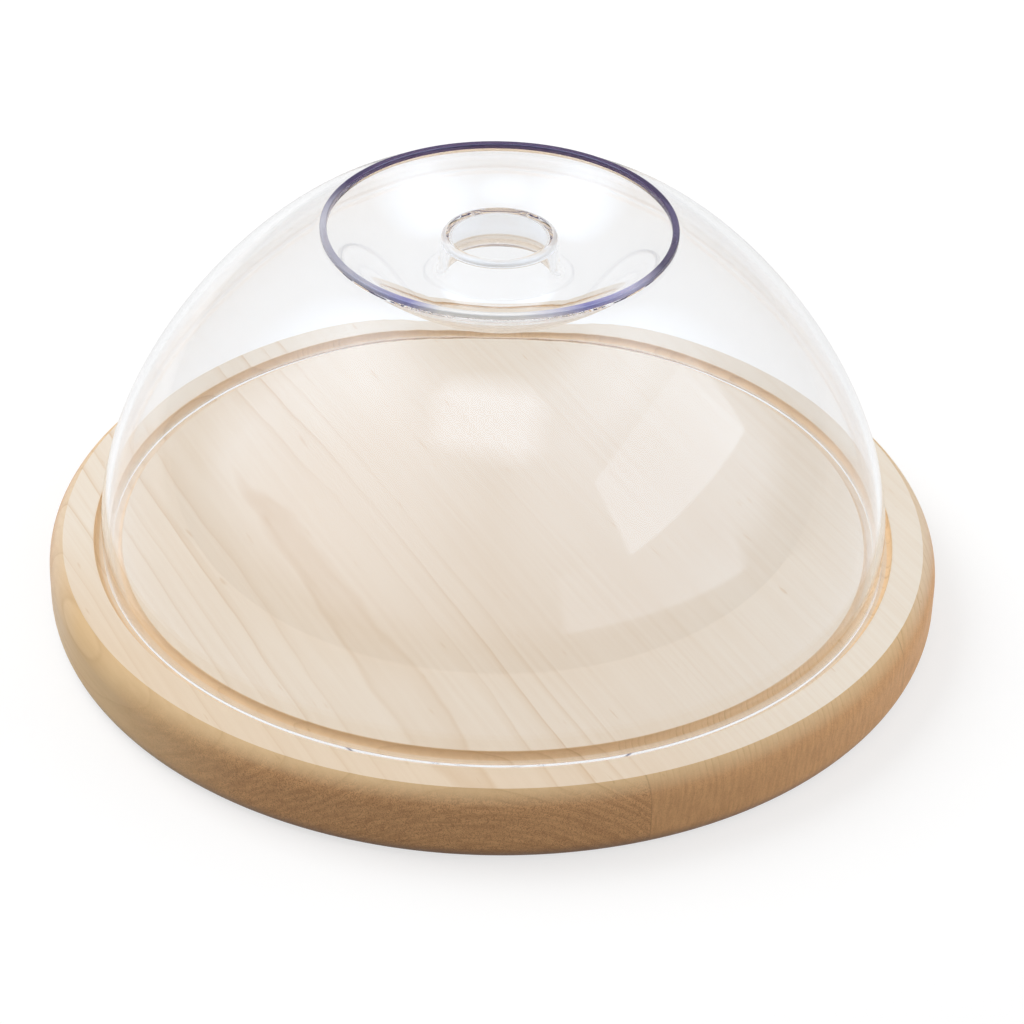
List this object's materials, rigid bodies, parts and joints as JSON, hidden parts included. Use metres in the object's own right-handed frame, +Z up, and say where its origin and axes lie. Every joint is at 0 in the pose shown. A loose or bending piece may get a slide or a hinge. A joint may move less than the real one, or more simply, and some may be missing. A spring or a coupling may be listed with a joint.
{
  "type": "covered serving board",
  "caption": "Round wooden serving board with a ring groove in its top, and a clear domed cover whose sunk crown holds a knob, so that it lifts straight off.",
  "frame": {"origin": "centre of the board's flat underside", "axes": "+Z up along the axis that the board, the groove and the dome share; Y along the wood's grain; X across the staves"},
  "size_m": [0.3096, 0.3096, 0.144],
  "materials": {
    "maple_flat_sawn": "sanded and oiled, satin",
    "maple_quarter_sawn": "sanded and oiled, satin",
    "maple_rift_sawn": "sanded and oiled, satin",
    "clear_acrylic": "clear, moulded, polished"
  },
  "bodies": {
    "board": {"left_stave": "maple_flat_sawn", "middle_stave": "maple_quarter_sawn", "right_stave": "maple_rift_sawn"},
    "dome": {"dome": "clear_acrylic"}
  },
  "joints": [
    {"name": "dome_lift", "type": "slide", "parent": "board", "child": "dome", "axis": [0, 0, 1], "range_m": [0, 0.13]}
  ]
}
